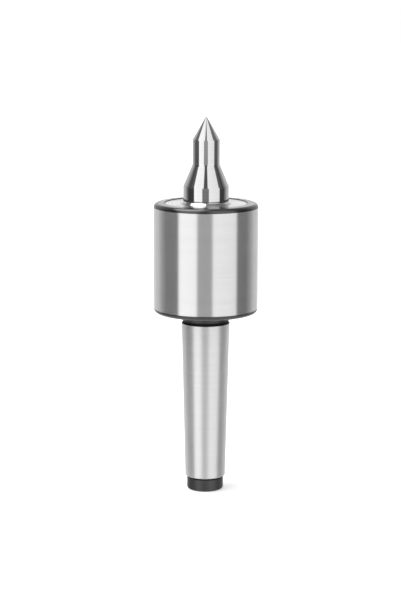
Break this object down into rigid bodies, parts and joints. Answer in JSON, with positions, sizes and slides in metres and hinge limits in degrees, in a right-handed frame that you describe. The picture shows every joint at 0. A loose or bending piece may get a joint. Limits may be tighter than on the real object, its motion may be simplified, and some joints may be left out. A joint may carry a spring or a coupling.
{
  "type": "live center",
  "caption": "Morse taper live center: a tapered shank and round housing carry a 60 degree point that spins on ball, thrust and needle bearings to support turned work.",
  "frame": {"origin": "middle of the tail end face of the shank, on the axis", "axes": "+Z along the axis, from the shank's tail to the point; X and Y are any two directions across it, as the outside is round"},
  "size_m": [0.0522, 0.0522, 0.1891],
  "materials": {
    "ground_steel": "ground cylindrical surfaces with fine marks round the axis; the unground edges, neck and tail are blackened",
    "polished_steel": "finely ground and polished hardened steel",
    "turned_steel": "face-turned steel, fine rings",
    "black_oxide": "glossy black oxide on steel",
    "bearing_steel": "ground and honed bearing steel",
    "ball_steel": "polished bearing balls",
    "cage_brass": "machined brass",
    "pressed_steel": "pressed steel strip, satin",
    "spacer_steel": "ground faces, turned outside",
    "spring_steel": "blackened spring steel",
    "garter_steel": "bright wound wire",
    "seal_rubber": "matte nitrile rubber",
    "oring_rubber": "matte nitrile rubber"
  },
  "bodies": {
    "housing": {"shank_housing": "ground_steel", "front_cover": "turned_steel", "cover_oring": "oring_rubber", "shaft_seal": "seal_rubber", "seal_spring": "garter_steel", "front_bearing_outer_ring": "bearing_steel", "rear_bearing_outer_ring": "bearing_steel", "outer_spacer": "spacer_steel", "thrust_housing_washer": "bearing_steel", "needle_bearing_cup": "pressed_steel"},
    "spindle": {"center_spindle": "polished_steel", "front_bearing_inner_ring": "bearing_steel", "rear_bearing_inner_ring": "bearing_steel", "inner_spacer": "spacer_steel", "retaining_ring": "spring_steel", "thrust_shaft_washer": "bearing_steel"},
    "front_cage": {"front_bearing_cage": "cage_brass", "front_bearing_ball_01": "ball_steel", "front_bearing_ball_02": "ball_steel", "front_bearing_ball_03": "ball_steel", "front_bearing_ball_04": "ball_steel", "front_bearing_ball_05": "ball_steel", "front_bearing_ball_06": "ball_steel", "front_bearing_ball_07": "ball_steel", "front_bearing_ball_08": "ball_steel", "front_bearing_ball_09": "ball_steel"},
    "rear_cage": {"rear_bearing_cage": "cage_brass", "rear_bearing_ball_01": "ball_steel", "rear_bearing_ball_02": "ball_steel", "rear_bearing_ball_03": "ball_steel", "rear_bearing_ball_04": "ball_steel", "rear_bearing_ball_05": "ball_steel", "rear_bearing_ball_06": "ball_steel", "rear_bearing_ball_07": "ball_steel", "rear_bearing_ball_08": "ball_steel", "rear_bearing_ball_09": "ball_steel"},
    "thrust_ball_cage": {"thrust_cage": "pressed_steel", "thrust_ball_01": "ball_steel", "thrust_ball_02": "ball_steel", "thrust_ball_03": "ball_steel", "thrust_ball_04": "ball_steel", "thrust_ball_05": "ball_steel", "thrust_ball_06": "ball_steel", "thrust_ball_07": "ball_steel", "thrust_ball_08": "ball_steel", "thrust_ball_09": "ball_steel", "thrust_ball_10": "ball_steel"},
    "needle_set": {"needle_cage": "bearing_steel"}
  },
  "joints": [
    {"name": "spindle_spin", "type": "hinge", "parent": "housing", "child": "spindle", "pos_m": [0, 0, 0.137], "axis": [0, 0, 1], "continuous": true},
    {"name": "front_cage_spin", "type": "hinge", "parent": "housing", "child": "front_cage", "pos_m": [0, 0, 0.131], "axis": [0, 0, 1], "continuous": true},
    {"name": "rear_cage_spin", "type": "hinge", "parent": "housing", "child": "rear_cage", "pos_m": [0, 0, 0.115], "axis": [0, 0, 1], "continuous": true},
    {"name": "thrust_cage_spin", "type": "hinge", "parent": "housing", "child": "thrust_ball_cage", "pos_m": [0, 0, 0.1023], "axis": [0, 0, 1], "continuous": true},
    {"name": "needle_set_spin", "type": "hinge", "parent": "housing", "child": "needle_set", "pos_m": [0, 0, 0.083], "axis": [0, 0, 1], "continuous": true}
  ],
  "couplings": [
    {"joint": "front_cage_spin", "follows": "spindle_spin", "ratio": 0.3927},
    {"joint": "rear_cage_spin", "follows": "spindle_spin", "ratio": 0.3927},
    {"joint": "thrust_cage_spin", "follows": "spindle_spin", "ratio": 0.5},
    {"joint": "needle_set_spin", "follows": "spindle_spin", "ratio": 0.4437}
  ]
}
